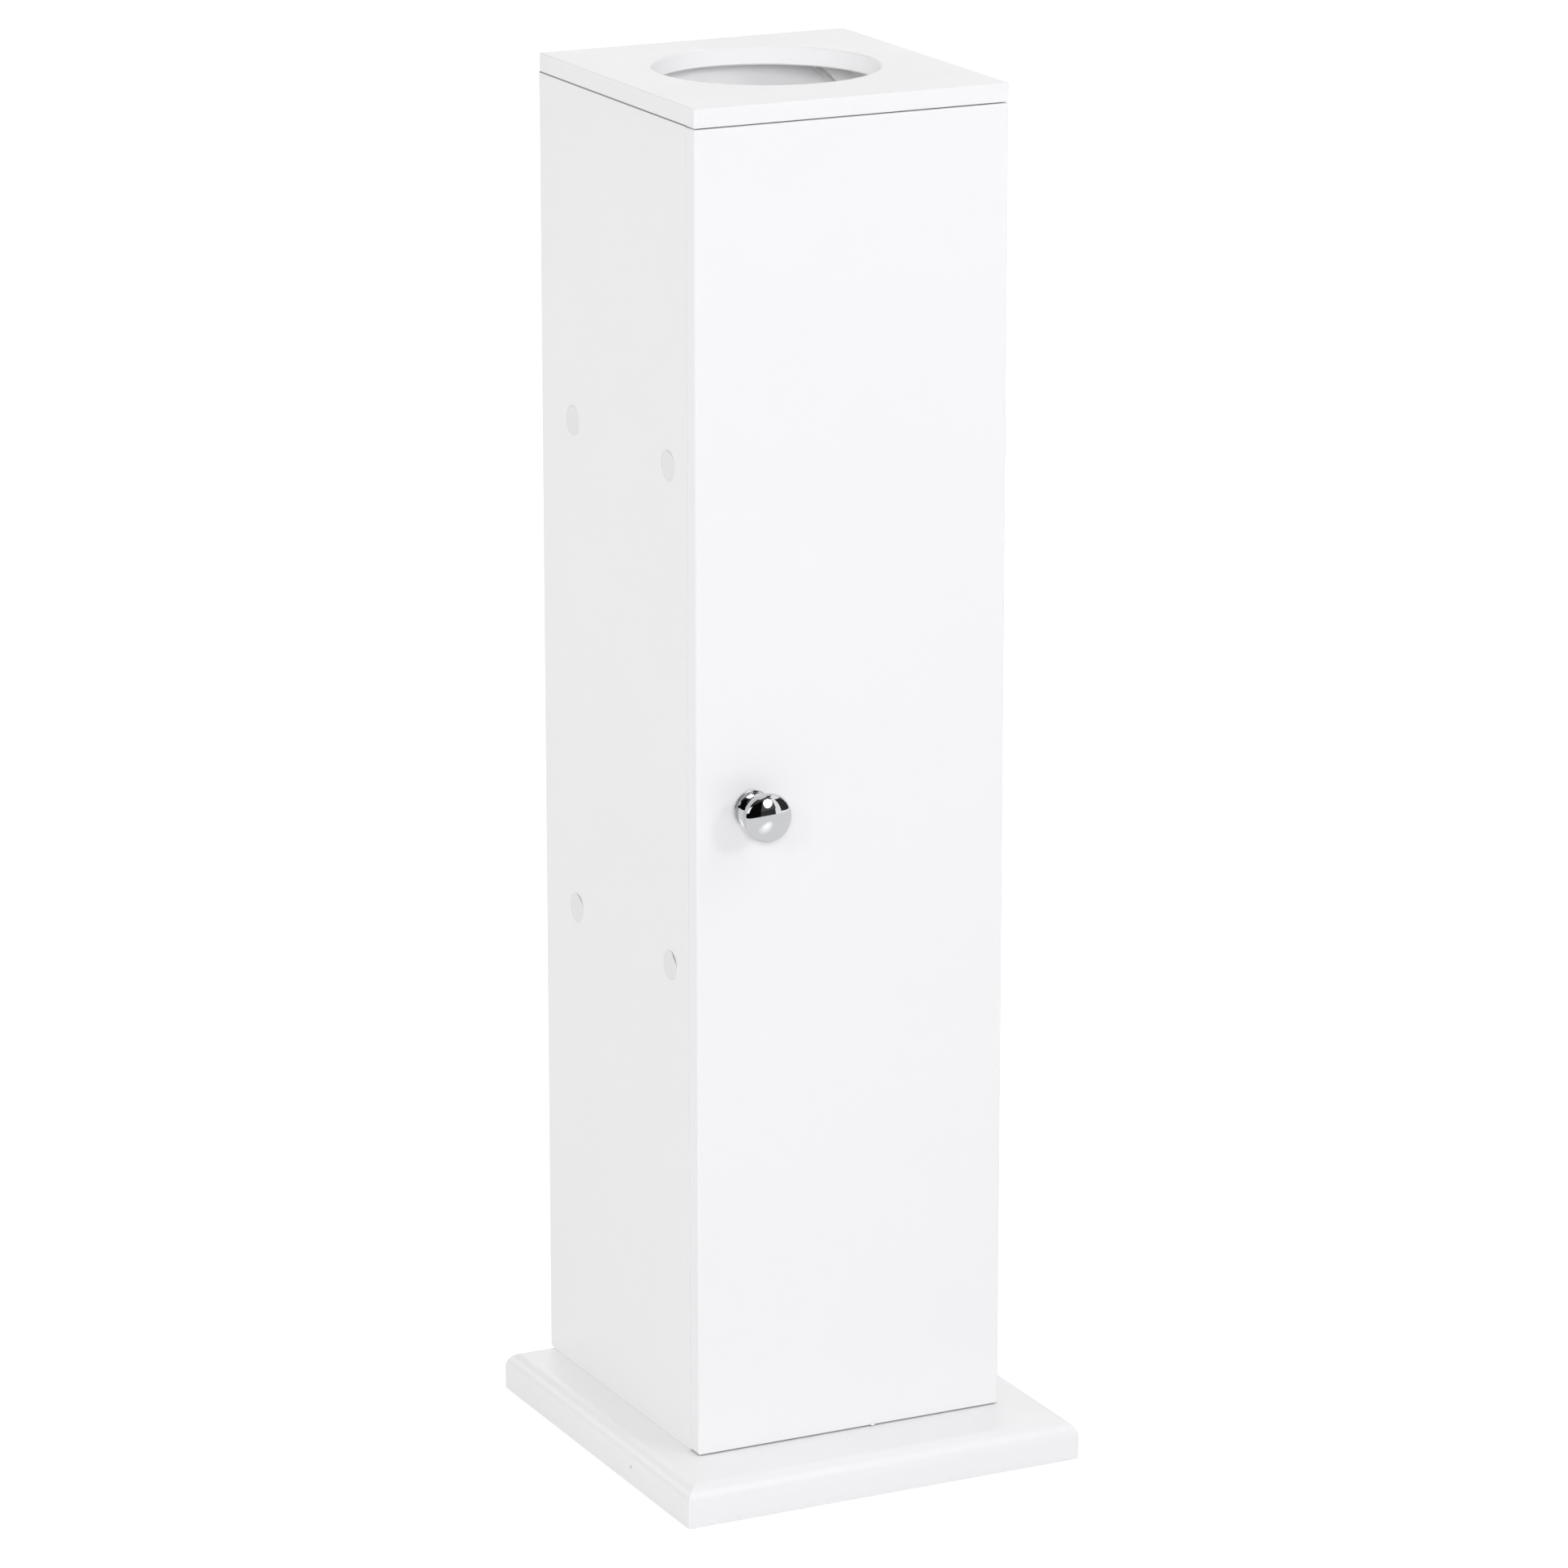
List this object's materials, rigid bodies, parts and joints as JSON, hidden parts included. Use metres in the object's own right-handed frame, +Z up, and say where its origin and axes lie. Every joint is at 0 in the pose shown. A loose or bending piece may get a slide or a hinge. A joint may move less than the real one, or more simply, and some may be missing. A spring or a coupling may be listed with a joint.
{
  "type": "toilet roll storage cabinet",
  "caption": "Slim floor-standing column with a round roll hole in the top, shelves inside and a full-height door with a mushroom knob.",
  "frame": {"origin": "on the floor, under the middle of the foot board's plan", "axes": "+Z up, -Y towards the user (the door's face), +X to the user's right"},
  "size_m": [0.206, 0.2084, 0.66],
  "materials": {
    "white_paint": "satin white paint on fine fibreboard",
    "white_back_board": "thin white-faced fibreboard, matt",
    "white_plastic": "moulded white plastic",
    "cap_plastic": "slightly cream white plastic film cap",
    "polished_chrome": "mirror-bright chrome plate",
    "hinge_steel": "nickel-plated rolled steel",
    "zinc_steel": "bright zinc plate",
    "ferrite": "dull dark grey ferrite magnet",
    "grey_foam": "dense foam pad"
  },
  "bodies": {
    "cabinet": {"foot": "white_paint", "foot_pads": "grey_foam", "foot_screws": "zinc_steel", "left_side": "white_paint", "right_side": "white_paint", "back_panel": "white_back_board", "top_panel": "white_paint", "corner_blocks": "white_plastic", "corner_block_screws": "zinc_steel", "upper_shelf": "white_paint", "lower_shelf": "white_paint", "shelf_screws_left": "zinc_steel", "shelf_screws_right": "zinc_steel", "screw_caps_left": "cap_plastic", "screw_caps_right": "cap_plastic", "upper_hinge_frame_leaf": "hinge_steel", "upper_hinge_pin": "hinge_steel", "lower_hinge_frame_leaf": "hinge_steel", "lower_hinge_pin": "hinge_steel", "hinge_frame_screws": "zinc_steel", "catch_body": "white_plastic", "catch_magnet": "ferrite", "catch_pole_plates": "zinc_steel", "catch_screws": "zinc_steel"},
    "door_leaf": {"door": "white_paint", "knob": "polished_chrome", "knob_screw": "zinc_steel", "upper_hinge_door_leaf": "hinge_steel", "lower_hinge_door_leaf": "hinge_steel", "hinge_door_screws": "zinc_steel", "strike_plate": "zinc_steel", "strike_screw": "zinc_steel"}
  },
  "joints": [
    {"name": "door_hinge", "type": "hinge", "parent": "cabinet", "child": "door_leaf", "pos_m": [0.0808, -0.0571, 0.3355], "axis": [0, 0, 1], "range_deg": [0, 180]}
  ]
}
